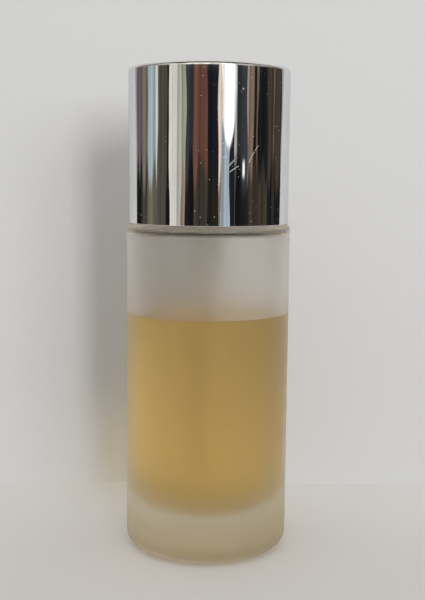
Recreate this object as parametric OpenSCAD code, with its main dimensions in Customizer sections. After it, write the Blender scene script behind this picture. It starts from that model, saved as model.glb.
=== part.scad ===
// Round frosted-glass spray bottle with a crimped fine-mist pump and a pull-off metal cap.
// Millimetres. The origin is the middle of the foot, +Z is up and the nozzle faces -Y.

/* [Bottle] */
// Outside diameter of the glass body
bottle_d = 48; // [46:0.5:56]
// Height of the glass from the foot to the shoulder
bottle_h = 96; // [92:1:112]
// Thickness of the side wall
wall_t = 2.8; // [2.2:0.1:3.4]
// Thickness of the glass base under the liquid
base_t = 12; // [9:0.5:14]
// Thickness of the glass shoulder
shoulder_t = 1.6; // [1.2:0.2:6]
// Radius of the heel where the side meets the foot
heel_r = 4; // [1:0.25:5]
// Radius of the shoulder edge
shoulder_r = 1.4; // [0.5:0.1:2]
// Radius at the foot of the cavity
cavity_foot_r = 13; // [5:0.5:15]
// Radius at the top of the cavity
cavity_top_r = 1.8; // [0.6:0.2:8]
// Diameter of the hollow under the foot
punt_d = 30; // [22:1:36]
// Height of the hollow under the foot
punt_h = 1.2; // [0.6:0.1:2]
// Depth of the liquid over the base
fill_h = 57.6; // [40:0.2:62]

/* [Neck] */
// Height of the neck above the shoulder
neck_h = 8.5; // [7.8:0.1:10]
// Wall of the neck
neck_wall = 1.7; // [1.4:0.1:2.2]
// Overhang of the bead beyond the neck
bead_step = 1.1; // [0.8:0.1:1.4]
// Height of the bead
bead_h = 4.1; // [3:0.1:4.5]
// Edge radius of the bead
bead_edge_r = 0.5; // [0.2:0.1:0.5]
// Radius where the neck meets the shoulder
neck_root_r = 0.8; // [0.3:0.1:1.2]
// Edge radius of the mouth
mouth_r = 0.4; // [0.2:0.1:0.6]

/* [Pump housing] */
// Thickness of the neck gasket
gasket_t = 1; // [0.6:0.1:1.6]
// Thickness of the housing's flange
flange_t = 1.4; // [1:0.1:2]
// How far the flange and gasket stay inside the bead
flange_inset = 0.3; // [0.1:0.1:0.6]
// Bore of the pump chamber
chamber_d = 6.8; // [6.4:0.1:7.6]
// Depth of the chamber below the flange's top
chamber_len = 25.6; // [24.4:0.2:30]
// Wall of the barrel and of the inlet
housing_wall = 0.9; // [0.7:0.1:1.2]
// Thickness of the chamber floor
floor_t = 1.2; // [0.8:0.1:2]
// Diameter of the passage under the inlet valve
passage_d = 1.4; // [1:0.1:1.5]
// Length of the passage under the inlet valve
passage_len = 1.2; // [0.8:0.1:2]
// Depth of the dip tube's socket
socket_len = 6; // [4:0.5:8]

/* [Inlet valve and dip tube] */
// Diameter of the ball
ball_d = 2.4; // [2.2:0.1:2.8]
// Travel of the ball
ball_lift = 0.8; // [0.4:0.1:1.2]
// Angle of the ball's seat from the axis
seat_angle = 45; // [40:1:50]
// Number of lugs that keep the ball
lug_count = 3; // [3:1:4]
// Angle that each lug spans
lug_angle = 40; // [20:5:60]
// Height of the lugs
lug_h = 0.5; // [0.3:0.1:0.8]
// Reach of the lugs into the ball's cage
lug_reach = 0.45; // [0.4:0.05:0.6]
// Outside diameter of the dip tube
tube_d = 3; // [2.6:0.1:3.4]
// Wall of the dip tube
tube_wall = 0.5; // [0.4:0.05:0.7]
// Straight length of the dip tube below its socket
tube_straight = 14; // [8:1:24]
// Sideways reach of the tube's curved end
tube_lean = 8; // [4:0.5:10]
// Height of the tube's end above the base
tube_floor_gap = 2; // [1.5:0.1:4]

/* [Stem and piston] */
// Outside diameter of the stem
stem_d = 3.8; // [3.6:0.1:4.2]
// Bore of the stem
stem_bore_d = 1.6; // [1.2:0.1:1.8]
// Travel of the stem
stroke = 4.2; // [3:0.1:4.4]
// Height of the stem's skirt
skirt_h = 6; // [5.4:0.1:6.6]
// Wall of the stem's skirt
skirt_wall = 0.45; // [0.35:0.05:0.6]
// Thickness of the skirt's roof
skirt_roof_t = 1; // [0.8:0.1:1.4]
// Diameter of the valve rod
rod_d = 2.4; // [2.2:0.1:2.6]
// Width of the rod across its two flow flats
rod_flat_w = 1.7; // [1.4:0.1:1.9]
// Length of the rod held in the stem
rod_hold = 4; // [3:0.5:6]
// Height of the rod's valve head
head_h = 1.2; // [0.8:0.1:1.8]
// Length of the spigot that centres the return spring
spigot_h = 1.6; // [1:0.1:2]
// Height of the piston's body
piston_h = 3.2; // [2.6:0.1:3.6]
// Height of the piston's sleeve inside the skirt
piston_sleeve_h = 2.6; // [2.2:0.1:3]
// Height of each flared piston lip
lip_h = 1.2; // [0.8:0.1:1.3]
// Travel of the piston on the rod
piston_lag = 0.5; // [0.3:0.1:0.8]
// Length of the retainer's sleeve in the barrel
sleeve_len = 4; // [3:0.2:4.6]
// Thickness of the stem seal
seal_t = 0.8; // [0.6:0.1:1.2]
// Wire of the return spring
wire_d = 0.5; // [0.4:0.05:0.6]
// Coils of the return spring
spring_turns = 7; // [5:1:7]
// Wire of the piston spring
piston_wire_d = 0.35; // [0.3:0.05:0.4]
// Coils of the piston spring
piston_spring_turns = 3; // [2:1:3]

/* [Ferrule and collar] */
// Thickness of the retainer's flange
retainer_t = 1.2; // [0.8:0.1:1.8]
// Height of the retainer's boss
boss_h = 1.2; // [0.8:0.1:1.8]
// Wall of the retainer's boss
boss_wall = 1.7; // [1.2:0.1:2]
// Sheet thickness of the ferrule
ferrule_t = 0.4; // [0.3:0.05:0.5]
// Edge radius of the ferrule's top
ferrule_edge_r = 0.7; // [0.5:0.1:0.9]
// Wall of the collar insert
insert_wall = 1.5; // [1.1:0.1:2.2]
// Thickness of the insert's ledge over the ferrule
ledge_t = 0.8; // [0.6:0.1:1.2]
// Sheet thickness of the collar shell
collar_t = 0.4; // [0.3:0.05:0.6]
// Edge radius of the collar's top
collar_edge_r = 0.6; // [0.5:0.1:0.8]
// Depth of the collar's turned-down inner lip
collar_lip = 1.4; // [0.8:0.1:2]
// How far the button stands inside the collar at rest
collar_overlap = 0.9; // [0.5:0.1:2]
// Number of snap lugs on the insert
snap_count = 4; // [3:1:6]
// Angle that each snap lug spans
snap_angle = 36; // [20:2:44]
// Height of a snap lug
snap_h = 0.85; // [0.6:0.05:1]
// Reach of a snap lug under the ferrule
snap_reach = 0.3; // [0.2:0.05:0.4]
// Width of the slots beside the snap lugs
snap_slot_w = 1.2; // [0.8:0.1:1.6]

/* [Actuator] */
// Outside diameter of the actuator
actuator_d = 13.2; // [12.8:0.1:14]
// Sheet thickness of the actuator's shell
skin_t = 0.4; // [0.3:0.05:0.5]
// Edge radius of the actuator's top
actuator_edge_r = 0.9; // [0.7:0.1:1.2]
// Diameter of the finger dish
dish_d = 10; // [8:0.5:10.5]
// Depth of the finger dish
dish_h = 0.7; // [0.4:0.1:0.9]
// Wall of the button's skirt
button_wall = 1; // [0.7:0.1:1.2]
// Wall of the stem socket
socket_wall = 1.4; // [1:0.1:1.6]
// Depth of the stem socket
stem_socket_len = 4.6; // [3.6:0.2:6]
// Height of the hollow beside the stem socket
hollow_h = 2.2; // [1.4:0.1:2.6]
// Height of the nozzle's axis above the stem
channel_lift = 1.6; // [1.4:0.1:3]
// Solid cover above the nozzle's pocket
top_cover = 2.3; // [1.9:0.1:4]
// Diameter of the spray channel
channel_d = 1; // [0.8:0.1:1.2]

/* [Spray insert] */
// Outside diameter of the insert
nozzle_d = 4.4; // [4.2:0.1:4.8]
// How far the insert's face lies inside the actuator's side
nozzle_inset = 0.3; // [0.2:0.05:0.5]
// Length of the insert
nozzle_len = 2.7; // [2.4:0.1:3]
// Thickness of the insert's front
nozzle_front_t = 0.9; // [0.7:0.1:1.2]
// Gap behind the insert that feeds it
feed_gap = 0.6; // [0.4:0.1:0.8]
// Diameter of the post inside the insert
post_d = 2.1; // [1.8:0.1:2.3]
// Flow gap round the post
post_gap = 0.2; // [0.1:0.05:0.3]
// Diameter of the spray orifice
orifice_d = 0.3; // [0.2:0.05:0.4]
// Diameter of the cone at the insert's face
cone_d = 2.4; // [1.6:0.1:2.8]
// Depth of the cone at the insert's face
cone_h = 0.45; // [0.3:0.05:0.55]
// Number of swirl slots
swirl_count = 3; // [2:1:4]
// Width of a swirl slot
swirl_w = 0.3; // [0.2:0.05:0.4]
// Depth of a swirl slot and of the swirl chamber
swirl_h = 0.2; // [0.1:0.05:0.25]
// Diameter of the swirl chamber
swirl_d = 1; // [0.8:0.1:1.2]

/* [Cap] */
// Height of the cap
cap_h = 44; // [40:0.5:56]
// How far the cap's side lies inside the glass body's side
cap_inset = 0.6; // [0.2:0.1:2]
// Gap under the cap when it is on
cap_gap = 0.2; // [0.1:0.1:1]
// Wall of the metal shell
cap_wall = 1; // [0.8:0.1:1.6]
// Edge radius of the cap's top
cap_edge_r = 0.9; // [0.4:0.1:1.2]
// Edge radius of the cap's rim
cap_rim_r = 0.45; // [0.2:0.05:0.45]
// Depth of the liner's flange inside the rim
liner_recess = 1; // [0.6:0.1:2]
// Wall of the liner
liner_wall = 1.2; // [0.9:0.1:1.6]
// Height of the liner's rim against the shell
liner_h = 3; // [2:0.5:6]
// Reach of the liner's stops over the collar's flat top
stop_w = 0.9; // [0.6:0.1:1.4]
// Height of the liner's stops
stop_h = 3; // [2:0.5:5]
// Number of grip ribs, and of stops, in the liner
rib_count = 6; // [3:1:12]
// Radius of a grip rib
rib_r = 0.5; // [0.4:0.05:0.6]

/* [Fits] */
// Gap round pieces pressed or glued together
fit_gap = 0.05; // [0.03:0.01:0.08]
// Gap round the ball in its cage
cage_gap = 0.25; // [0.2:0.01:0.3]
// Running gap round moving pieces
run_gap = 0.06; // [0.04:0.01:0.1]
// Gap between the ferrule and the bead
crimp_gap = 0.1; // [0.05:0.05:0.2]
// Gap between the barrel and the neck
barrel_gap = 0.4; // [0.2:0.1:0.6]
// Gap round the stem's skirt in the chamber
skirt_gap = 0.5; // [0.4:0.05:0.7]
// Gap left over at the end of the stroke
press_gap = 0.4; // [0.3:0.1:1]
// Gap between the actuator and the collar
actuator_gap = 0.5; // [0.3:0.1:0.7]
// Gap between the collar and the glass shoulder
collar_gap = 0.3; // [0.2:0.1:0.6]
// Gap between the collar and the cap's liner
grip_gap = 0.15; // [0.12:0.01:0.25]
// Gap between the grip ribs and the collar
rib_gap = 0.04; // [0.02:0.01:0.08]
// Gap between the liquid and the glass
liquid_gap = 0.05; // [0.03:0.01:0.1]

/* [Hidden] */

// Facets of large turned faces, of small ones and of edge arcs
$fn = 96;
small_fn = 48;
arc_fn = 64;
// Rings of a spring's wire in each turn, and sides of the wire
rings_per_turn = 8;
wire_sides = 6;
// Overshoot of a cut past the face it opens
cut = 1;

// Radii from the chamber outwards to the collar
chamber_r = chamber_d / 2;
barrel_r = chamber_r + housing_wall;
bore_r = barrel_r + barrel_gap;
neck_r = bore_r + neck_wall;
bead_r = neck_r + bead_step;
flange_r = bead_r - flange_inset;
ferrule_in_r = bead_r + crimp_gap;
ferrule_r = ferrule_in_r + ferrule_t;
insert_in_r = ferrule_r + fit_gap;
insert_r = insert_in_r + insert_wall;
collar_in_r = insert_r + fit_gap;
collar_r = collar_in_r + collar_t;

// Radii of the body and of the cap
bottle_r = bottle_d / 2;
cavity_r = bottle_r - wall_t;
cap_r = bottle_r - cap_inset;
cap_in_r = cap_r - cap_wall;
liner_r = cap_in_r - fit_gap;
grip_r = collar_r + grip_gap;
sleeve_r = grip_r + liner_wall;
stop_r = collar_r - collar_edge_r - stop_w;

// Radii of the inlet valve, the stem and the piston
ball_r = ball_d / 2;
cage_r = ball_r + cage_gap;
tube_r = tube_d / 2;
socket_r = tube_r + fit_gap;
inlet_r = max(cage_r, socket_r) + housing_wall;
stem_r = stem_d / 2;
stem_hole_r = stem_r + run_gap;
boss_r = stem_hole_r + boss_wall;
skirt_r = chamber_r - skirt_gap;
skirt_in_r = skirt_r - skirt_wall;
rod_r = rod_d / 2;
piston_bore_r = rod_r + run_gap;
piston_sleeve_r = skirt_in_r - run_gap;
lip_r = chamber_r - run_gap;
coil_r = (cage_r + chamber_r) / 2;
piston_coil_r = (rod_r + skirt_in_r) / 2;
head_r = coil_r + wire_d / 2 + fit_gap;
spigot_r = (coil_r - wire_d / 2) * cos(180 / rings_per_turn) - run_gap;

// Levels of the crimped stack, upwards from the shoulder
neck_z = bottle_h + neck_h;
bead_z = neck_z - bead_h;
flange_z = neck_z + gasket_t;
deck_z = flange_z + flange_t;
retainer_z = deck_z + retainer_t;
ferrule_z = retainer_z + ferrule_t;
boss_z = retainer_z + boss_h;
boss_top_z = boss_z + ferrule_t;

// Levels inside the chamber, downwards from the deck, with the stem at rest
sleeve_z = deck_z - sleeve_len;
seal_z = sleeve_z - seal_t;
skirt_z = seal_z - skirt_h;
skirt_roof_z = seal_z - skirt_roof_t;
piston_top_z = skirt_z - piston_lag - press_gap;
piston_sleeve_z = piston_top_z + piston_sleeve_h;
seat_z = piston_top_z - piston_h;
head_z = seat_z - head_h;
floor_z = deck_z - chamber_len;
rod_top_z = seal_z + rod_hold;

// Levels of the inlet: the ball rests on a cone, whose tip is at apex_z
ball_seat_h = ball_r / sin(seat_angle) + fit_gap;
lug_r = cage_r - lug_reach;
ball_stop_h = sqrt(ball_r * ball_r - lug_r * lug_r) + fit_gap;
apex_z = floor_z - lug_h - ball_stop_h - ball_lift - ball_seat_h;
ball_z = apex_z + ball_seat_h;
passage_r = passage_d / 2;
socket_z = apex_z + passage_r / tan(seat_angle) - passage_len;
inlet_z = socket_z - socket_len;

// The dip tube runs straight down, then along an arc that ends above the base
bend_z = inlet_z - tube_straight;
tube_end_z = base_t + tube_floor_gap;
bend_drop = bend_z - tube_end_z;
bend_angle = 2 * atan(tube_lean / bend_drop);
bend_r = bend_drop / sin(bend_angle);

// Levels of the actuator, the collar and the cap
actuator_r = actuator_d / 2;
actuator_z = ferrule_z + press_gap + stroke;
collar_z = actuator_z + collar_overlap;
stem_socket_z = boss_top_z + press_gap + stroke;
stem_z = stem_socket_z + stem_socket_len;
nozzle_r = nozzle_d / 2;
nozzle_z = stem_z + channel_lift;
actuator_top_z = nozzle_z + nozzle_r + top_cover;
hollow_z = stem_socket_z + hollow_h;
button_r = actuator_r - skin_t - fit_gap;
button_top_z = actuator_top_z - skin_t;
dish_r = (dish_d * dish_d / 4 + dish_h * dish_h) / (2 * dish_h);
dish_z = actuator_top_z + dish_r - dish_h;
stem_bore_r = stem_bore_d / 2;
cap_z = bottle_h + cap_gap;
cap_top_z = cap_z + cap_h;
cap_roof_z = cap_top_z - cap_wall;
liner_z = cap_z + liner_recess;
well_z = cap_roof_z - liner_wall;
collar_foot_z = bottle_h + collar_gap;
insert_foot_z = collar_foot_z + collar_gap;
snap_z = bead_z - ferrule_t - fit_gap - snap_h;

// Distances of the spray insert from the axis, towards the front
face_y = actuator_r - nozzle_inset;
post_y = face_y - nozzle_front_t;
nozzle_back_y = face_y - nozzle_len;
pocket_y = nozzle_back_y - feed_gap;
post_r = post_d / 2;

// Springs: rings of points round a helix
main_coil = coil_points(coil_r, wire_d / 2, floor_z, head_z, spring_turns);
piston_coil = coil_points(piston_coil_r, piston_wire_d / 2, piston_sleeve_z, skirt_roof_z,
                          piston_spring_turns);
echo(return_spring_least_gap = least_gap(main_coil));
echo(piston_spring_least_gap = least_gap(piston_coil));

// Points of a wire wound between two levels, as a list of rings
function coil_points(r, wire_r, z_lo, z_hi, turns) =
  let (count = turns * rings_per_turn,
       rise = z_hi - z_lo - 2 * wire_r,
       slope = atan(rise / (turns * 2 * PI * r)))
  [for (i = [0 : count])
    let (a = 360 * i / rings_per_turn, z = z_lo + wire_r + rise * i / count)
    [for (j = [0 : wire_sides - 1])
      let (b = 360 * (j + 0.5) / wire_sides, out = r + wire_r * cos(b), up = wire_r * sin(b))
      [out * cos(a) + up * sin(slope) * sin(a),
       out * sin(a) - up * sin(slope) * cos(a),
       z + up * cos(slope)]]];

// Least distance between the points of rings one turn apart
function least_gap(rings) =
  min([for (i = [0 : len(rings) - rings_per_turn - 1])
    for (p = rings[i], q = rings[i + rings_per_turn]) norm(p - q)]);

// Wire through a list of rings, closed at both ends
module coil(rings) {
  last = len(rings) - 1;
  points = [for (ring = rings) for (p = ring) p];
  sides = [for (i = [0 : last - 1], j = [0 : wire_sides - 1])
    let (k = (j + 1) % wire_sides, a = i * wire_sides, b = a + wire_sides)
    for (face = [[a + j, b + j, b + k], [a + j, b + k, a + k]]) face];
  ends = [for (j = [1 : wire_sides - 2])
    for (face = [[0, j, j + 1], [0, j + 1, j] + last * wire_sides * [1, 1, 1]]) face];
  polyhedron(points, concat(sides, ends));
}

// Rectangle of a turned profile
module band(r_in, r_out, z_lo, z_hi) {
  translate([r_in, z_lo]) square([r_out - r_in, z_hi - z_lo]);
}

// What a round edge takes off a corner at [x, z], with the material towards [dx, dz]
module edge(r, x, z, dx, dz) {
  translate([x, z]) difference() {
    translate([min(dx, 0) * r, min(dz, 0) * r]) square(r);
    translate([dx * r, dz * r]) circle(r, $fn = arc_fn);
  }
}

// Bore along the front direction, from one distance from the axis to another
module front_rod(r, y_in, y_out, z) {
  translate([0, -y_in, z]) rotate([90, 0, 0]) cylinder(r = r, h = y_out - y_in, $fn = small_fn);
}

// Profile of the bottle's hollow, smaller by a gap
module cavity(gap, z_top) {
  r = cavity_r - gap;
  difference() {
    band(0, r, base_t, z_top);
    edge(cavity_foot_r, r, base_t, -1, 1);
    edge(cavity_top_r, r, bottle_h - shoulder_t, -1, -1);
  }
}

module bottle() {
  color([0.85, 0.83, 0.78, 0.5])
  rotate_extrude() difference() {
    union() {
      difference() {
        band(0, bottle_r, 0, bottle_h);
        edge(heel_r, bottle_r, 0, -1, 1);
        edge(shoulder_r, bottle_r, bottle_h, -1, -1);
      }
      band(0, neck_r, bottle_h, neck_z);
      edge(neck_root_r, neck_r, bottle_h, 1, 1);
      difference() {
        band(0, bead_r, bead_z, neck_z);
        edge(bead_edge_r, bead_r, bead_z, -1, 1);
        edge(bead_edge_r, bead_r, neck_z, -1, -1);
      }
    }
    cavity(0, bottle_h - shoulder_t);
    band(0, bore_r, bottle_h - shoulder_t - cut, neck_z + cut);
    edge(mouth_r, bore_r, neck_z, 1, -1);
    punt();
  }
}

// Shallow round hollow under the foot
module punt() {
  r = (punt_d * punt_d / 4 + punt_h * punt_h) / (2 * punt_h);
  intersection() {
    translate([0, punt_h - r]) circle(r, $fn = 4 * arc_fn);
    band(0, punt_d, 0, 2 * punt_h);
  }
}

module fragrance() {
  color([0.78, 0.47, 0.12, 0.8])
  difference() {
    rotate_extrude() cavity(liquid_gap, base_t + fill_h);
    tube_run(tube_r + liquid_gap);
    rotate_extrude() band(0, inlet_r + liquid_gap, inlet_z - liquid_gap, deck_z);
    rotate_extrude() band(0, barrel_r + liquid_gap, floor_z - floor_t - liquid_gap, deck_z);
  }
}

module neck_gasket() {
  color("gainsboro")
  rotate_extrude() band(barrel_r + fit_gap, flange_r, neck_z, flange_z);
}

module pump_housing() {
  color("white") {
    rotate_extrude() difference() {
      union() {
        band(0, flange_r, flange_z, deck_z);
        band(0, barrel_r, floor_z - floor_t, deck_z);
        band(0, inlet_r, inlet_z, floor_z);
      }
      band(0, chamber_r, floor_z, deck_z + cut);
      ball_cage();
      band(0, passage_r, socket_z - cut, ball_z);
      band(0, socket_r, inlet_z - cut, socket_z);
    }
    for (i = [0 : lug_count - 1]) rotate(360 * i / lug_count) cage_lug();
  }
}

// Profile of the space round the ball, with its conical seat
module ball_cage() {
  cone_z = apex_z + cage_r / tan(seat_angle);
  band(0, cage_r, cone_z, floor_z + cut);
  polygon([[0, apex_z], [cage_r, cone_z], [0, cone_z]]);
}

// Lug at the cage's mouth that keeps the ball in
module cage_lug() {
  root_r = cage_r + housing_wall / 2;
  rotate_extrude(angle = lug_angle) band(lug_r, root_r, floor_z - lug_h, floor_z);
}

// Outside of the dip tube, or its bore, at a given radius
module tube_run(r) {
  translate([0, 0, bend_z]) cylinder(r = r, h = socket_z - bend_z, $fn = small_fn);
  translate([0, bend_r, bend_z]) rotate([0, 90, 0]) rotate([0, 0, -90])
    rotate_extrude(angle = bend_angle) translate([bend_r, 0]) circle(r, $fn = small_fn);
}

module dip_tube() {
  color([0.92, 0.92, 0.88, 0.7])
  difference() {
    tube_run(tube_r);
    tube_run(tube_r - tube_wall);
  }
}

module inlet_ball() {
  color("silver")
  translate([0, 0, ball_z]) sphere(ball_r, $fn = small_fn);
}

module return_spring() {
  color("silver") coil(main_coil);
}

module piston_spring() {
  color("silver") coil(piston_coil);
}

module valve_rod() {
  flat_z = seat_z + press_gap;
  color("white")
  difference() {
    rotate_extrude() {
      band(0, rod_r, seat_z, rod_top_z);
      band(0, head_r, head_z, seat_z);
      band(0, spigot_r, head_z - spigot_h, head_z);
    }
    for (side = [-1, 1])
      translate([side * (rod_flat_w / 2 + rod_r), 0, (flat_z + rod_top_z + cut) / 2])
        cube([2 * rod_r, 2 * rod_d, rod_top_z + cut - flat_z], center = true);
    translate([0, 0, rod_top_z]) cube([2 * rod_d, stem_bore_r, 2 * stem_bore_d], center = true);
  }
}

module piston() {
  waist_r = skirt_r - run_gap;
  color("whitesmoke")
  rotate_extrude() {
    band(piston_bore_r, piston_sleeve_r, seat_z, piston_sleeve_z);
    polygon([[piston_bore_r, seat_z], [lip_r, seat_z], [waist_r, seat_z + lip_h],
             [waist_r, piston_top_z - lip_h], [lip_r, piston_top_z], [piston_bore_r, piston_top_z]]);
  }
}

module stem() {
  color("white")
  rotate_extrude() difference() {
    union() {
      band(0, stem_r, seal_z, stem_z);
      band(0, skirt_r, skirt_z, seal_z);
    }
    band(0, skirt_in_r, skirt_z - cut, skirt_roof_z);
    band(0, rod_r + fit_gap, skirt_z, rod_top_z);
    band(0, stem_bore_r, rod_top_z - cut, stem_z + cut);
  }
}

module stem_seal() {
  color("dimgray")
  rotate_extrude() band(stem_hole_r, chamber_r - fit_gap, seal_z, sleeve_z);
}

module retainer() {
  color("white")
  rotate_extrude() {
    band(stem_hole_r, chamber_r - fit_gap, sleeve_z, deck_z);
    band(stem_hole_r, flange_r, deck_z, retainer_z);
    band(stem_hole_r, boss_r, retainer_z, boss_z);
  }
}

module crimp_ferrule() {
  curl_r = neck_r + 2 * crimp_gap;
  boss_out_r = boss_r + fit_gap + ferrule_t;
  color("silver")
  rotate_extrude() difference() {
    union() {
      difference() {
        band(0, ferrule_r, bead_z - ferrule_t, ferrule_z);
        edge(ferrule_edge_r, ferrule_r, ferrule_z, -1, -1);
        edge(ferrule_t, ferrule_r, bead_z - ferrule_t, -1, 1);
      }
      band(0, boss_out_r, ferrule_z - ferrule_t, boss_top_z);
    }
    band(0, ferrule_in_r, bead_z, retainer_z);
    band(0, boss_r + fit_gap, retainer_z - cut, boss_z);
    band(0, stem_hole_r + crimp_gap, boss_z - cut, boss_top_z + cut);
    band(0, curl_r, bead_z - ferrule_t - cut, bead_z + cut);
    edge(ferrule_t, boss_out_r, boss_top_z, -1, -1);
  }
}

module collar_insert() {
  slot_h = ferrule_z - snap_z;
  upper_r = insert_r - ledge_t;
  color("white")
  difference() {
    union() {
      rotate_extrude() {
        band(insert_in_r, insert_r, insert_foot_z, ferrule_z + ledge_t);
        band(actuator_r + actuator_gap, upper_r + ledge_t / 2, ferrule_z, ferrule_z + ledge_t);
        band(upper_r, insert_r, ferrule_z, collar_z - collar_t);
      }
      for (i = [0 : snap_count - 1]) rotate(360 * i / snap_count - snap_angle / 2)
        rotate_extrude(angle = snap_angle) snap_lug();
    }
    for (i = [0 : snap_count - 1]) rotate(360 * (i + 0.5) / snap_count)
      translate([0, -snap_slot_w / 2, insert_foot_z - cut])
        cube([insert_r + cut, snap_slot_w, slot_h / 2 + cut]);
  }
}

// Profile of a lug that snaps under the ferrule's curl, rooted in the insert's wall
module snap_lug() {
  in_r = ferrule_r - snap_reach;
  root_r = insert_in_r + insert_wall / 2;
  polygon([[root_r, snap_z], [insert_in_r, snap_z], [in_r, snap_z + snap_h / 2],
           [in_r, snap_z + snap_h], [root_r, snap_z + snap_h]]);
}

module collar_shell() {
  lip_in_r = actuator_r + actuator_gap;
  lip_out_r = lip_in_r + collar_t;
  color("lightsteelblue")
  rotate_extrude() difference() {
    band(lip_in_r, collar_r, collar_foot_z, collar_z);
    edge(collar_edge_r, collar_r, collar_z, -1, -1);
    edge(collar_t / 2, lip_in_r, collar_z, 1, -1);
    difference() {
      band(lip_out_r, collar_in_r, collar_foot_z - cut, collar_z - collar_t);
      edge(collar_edge_r - collar_t, collar_in_r, collar_z - collar_t, -1, -1);
    }
    band(0, lip_out_r + cut, collar_foot_z - cut, collar_z - collar_lip);
  }
}

// Profile of the actuator, smaller by a skin, with the finger dish in its top
module actuator_profile(inset, r_edge) {
  difference() {
    band(0, actuator_r - inset, actuator_z, actuator_top_z - inset);
    edge(r_edge, actuator_r - inset, actuator_top_z - inset, -1, -1);
    translate([0, dish_z]) circle(dish_r + inset, $fn = 4 * arc_fn);
  }
}

module actuator_shell() {
  color("lightsteelblue")
  difference() {
    rotate_extrude() difference() {
      actuator_profile(0, actuator_edge_r);
      actuator_profile(skin_t, actuator_edge_r - skin_t);
      band(0, actuator_r - skin_t, actuator_z - cut, actuator_z + cut);
    }
    front_rod(nozzle_r + 2 * fit_gap, face_y - nozzle_len, actuator_r + cut, nozzle_z);
  }
}

module actuator_button() {
  bush_r = stem_r + run_gap;
  color("white") {
    difference() {
      rotate_extrude() difference() {
        band(0, button_r, actuator_z, button_top_z);
        edge(actuator_edge_r, button_r, button_top_z, -1, -1);
        translate([0, dish_z]) circle(dish_r + skin_t + fit_gap, $fn = 4 * arc_fn);
        band(bush_r + socket_wall, button_r - button_wall, actuator_z - cut, hollow_z);
        band(0, button_r - button_wall, actuator_z - cut, stem_socket_z);
        band(0, bush_r, actuator_z - cut, stem_z);
        band(0, stem_bore_r, stem_z - cut, nozzle_z);
      }
      front_rod(channel_d / 2, 0, pocket_y + cut, nozzle_z - post_r);
      front_rod(nozzle_r, pocket_y, actuator_r + cut, nozzle_z);
    }
    front_rod(post_r, pocket_y - cut, post_y, nozzle_z);
  }
}

module spray_insert() {
  bore_y = post_y + swirl_h;
  cup_r = post_r + post_gap;
  color("white")
  difference() {
    front_rod(nozzle_r - fit_gap, nozzle_back_y, face_y, nozzle_z);
    front_rod(cup_r, nozzle_back_y - cut, post_y, nozzle_z);
    front_rod(swirl_d / 2, post_y - cut, bore_y, nozzle_z);
    front_rod(orifice_d / 2, post_y, face_y, nozzle_z);
    translate([0, -face_y + cone_h, nozzle_z]) rotate([90, 0, 0])
      cylinder(r1 = orifice_d / 2, r2 = cone_d / 2, h = cone_h, $fn = small_fn);
    for (i = [0 : swirl_count - 1])
      translate([0, -post_y, nozzle_z]) rotate([90, 360 * i / swirl_count, 0])
        translate([0, swirl_d / 2 - swirl_w, -cut]) cube([cup_r, swirl_w, swirl_h + cut]);
  }
}

module cap_shell() {
  color("silver")
  rotate_extrude() difference() {
    band(0, cap_r, cap_z, cap_top_z);
    edge(cap_edge_r, cap_r, cap_top_z, -1, -1);
    edge(cap_rim_r, cap_r, cap_z, -1, 1);
    band(0, cap_in_r, cap_z - cut, cap_roof_z);
    edge(cap_rim_r, cap_in_r, cap_z, 1, 1);
  }
}

module cap_liner() {
  root_r = (grip_r + sleeve_r) / 2;
  color([0.12, 0.12, 0.13]) {
    rotate_extrude() polygon([
      [grip_r, liner_z], [liner_r, liner_z], [liner_r, liner_z + liner_h],
      [liner_r - liner_wall, liner_z + liner_h], [liner_r - liner_wall, liner_z + liner_wall],
      [sleeve_r, liner_z + liner_wall], [sleeve_r, cap_roof_z], [0, cap_roof_z],
      [0, well_z], [grip_r, well_z]
    ]);
    for (i = [0 : rib_count - 1]) rotate(360 * (i + 0.5) / rib_count) {
      translate([collar_r + rib_gap + rib_r, 0, liner_z + liner_wall])
        cylinder(r = rib_r, h = collar_z - collar_edge_r - liner_z - liner_wall, $fn = small_fn);
      translate([stop_r, -liner_wall / 2, collar_z]) cube([root_r - stop_r, liner_wall, stop_h]);
    }
  }
}

bottle();
fragrance();
neck_gasket();
pump_housing();
dip_tube();
inlet_ball();
return_spring();
valve_rod();
piston();
piston_spring();
stem();
stem_seal();
retainer();
crimp_ferrule();
collar_insert();
collar_shell();
actuator_button();
actuator_shell();
spray_insert();
cap_shell();
cap_liner();
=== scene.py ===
import math

import bmesh
import bpy
from mathutils import Matrix, Vector


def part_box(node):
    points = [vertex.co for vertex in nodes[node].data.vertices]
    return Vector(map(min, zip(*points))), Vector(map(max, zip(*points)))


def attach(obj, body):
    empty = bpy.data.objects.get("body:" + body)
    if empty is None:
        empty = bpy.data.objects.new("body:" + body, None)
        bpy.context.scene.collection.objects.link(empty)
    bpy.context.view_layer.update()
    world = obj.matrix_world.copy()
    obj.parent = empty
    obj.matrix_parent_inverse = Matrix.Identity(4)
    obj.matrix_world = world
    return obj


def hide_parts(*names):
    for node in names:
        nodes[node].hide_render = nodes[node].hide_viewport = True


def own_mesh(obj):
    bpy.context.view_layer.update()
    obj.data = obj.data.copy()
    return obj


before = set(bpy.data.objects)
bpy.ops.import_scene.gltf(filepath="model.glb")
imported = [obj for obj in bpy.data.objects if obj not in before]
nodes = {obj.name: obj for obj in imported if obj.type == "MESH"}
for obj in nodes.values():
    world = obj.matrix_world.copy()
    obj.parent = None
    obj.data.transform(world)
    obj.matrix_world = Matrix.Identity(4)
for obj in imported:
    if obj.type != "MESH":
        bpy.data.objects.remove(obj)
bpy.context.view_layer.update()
scene = bpy.context.scene

MM = 0.001
TURNED_SEGMENTS = 256


def box_mm(node):
    """Outer radius, foot and top of a CAD node, in mm."""
    low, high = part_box(node)
    return high.x / MM, low.z / MM, high.z / MM


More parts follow.
